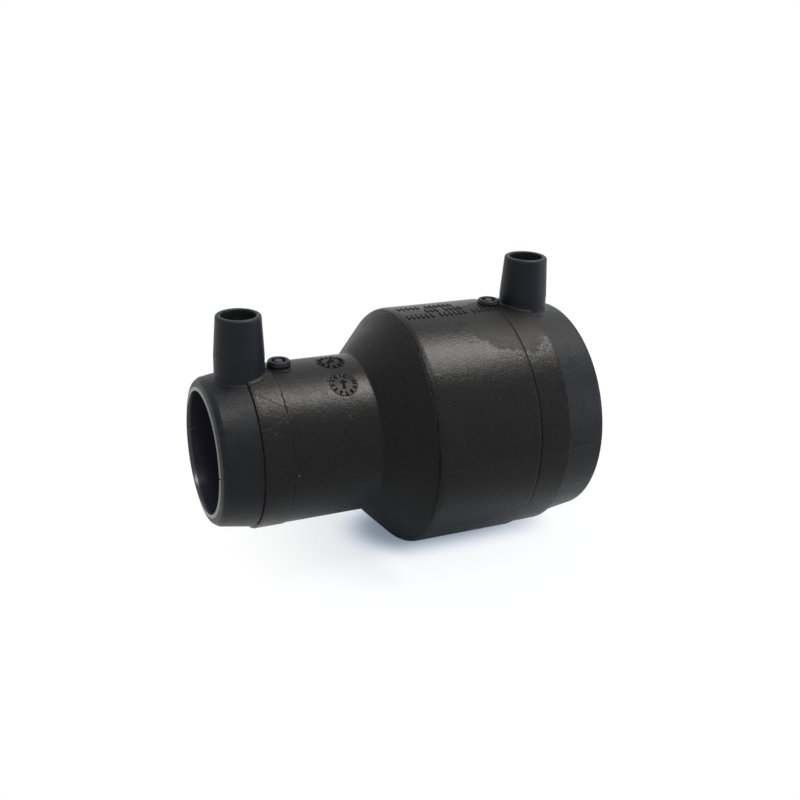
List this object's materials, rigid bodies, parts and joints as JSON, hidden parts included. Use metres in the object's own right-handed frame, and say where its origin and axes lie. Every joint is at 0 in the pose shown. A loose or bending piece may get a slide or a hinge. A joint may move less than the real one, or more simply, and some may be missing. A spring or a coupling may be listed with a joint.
{
  "type": "electrofusion reducer",
  "caption": "Black moulded reducer with a heated pipe socket at each end, two terminal shrouds with contact pins and two fusion indicators.",
  "frame": {"origin": "centre of the large end face, at the mouth of the large socket", "axes": "+Z along the pipe axis from the large end to the small end, +X out along both terminal shrouds"},
  "size_m": [0.0794, 0.0664, 0.1049],
  "materials": {
    "body": "black polyethylene, finely spark-textured mould finish with a soft sheen",
    "indicator": "black polyethylene, smooth",
    "contact": "turned brass",
    "wire": "drawn copper alloy resistance wire"
  },
  "bodies": {
    "fitting": {"fitting_body": "body", "heating_wire": "wire", "large_terminal_pin": "contact", "small_terminal_pin": "contact"},
    "large_indicator": {"large_indicator_pin": "indicator"},
    "small_indicator": {"small_indicator_pin": "indicator"}
  },
  "joints": [
    {"name": "large_indicator_rise", "type": "slide", "parent": "fitting", "child": "large_indicator", "axis": [1, 0, 0], "range_m": [0, 0.003]},
    {"name": "small_indicator_rise", "type": "slide", "parent": "fitting", "child": "small_indicator", "axis": [1, 0, 0], "range_m": [0, 0.003]}
  ]
}
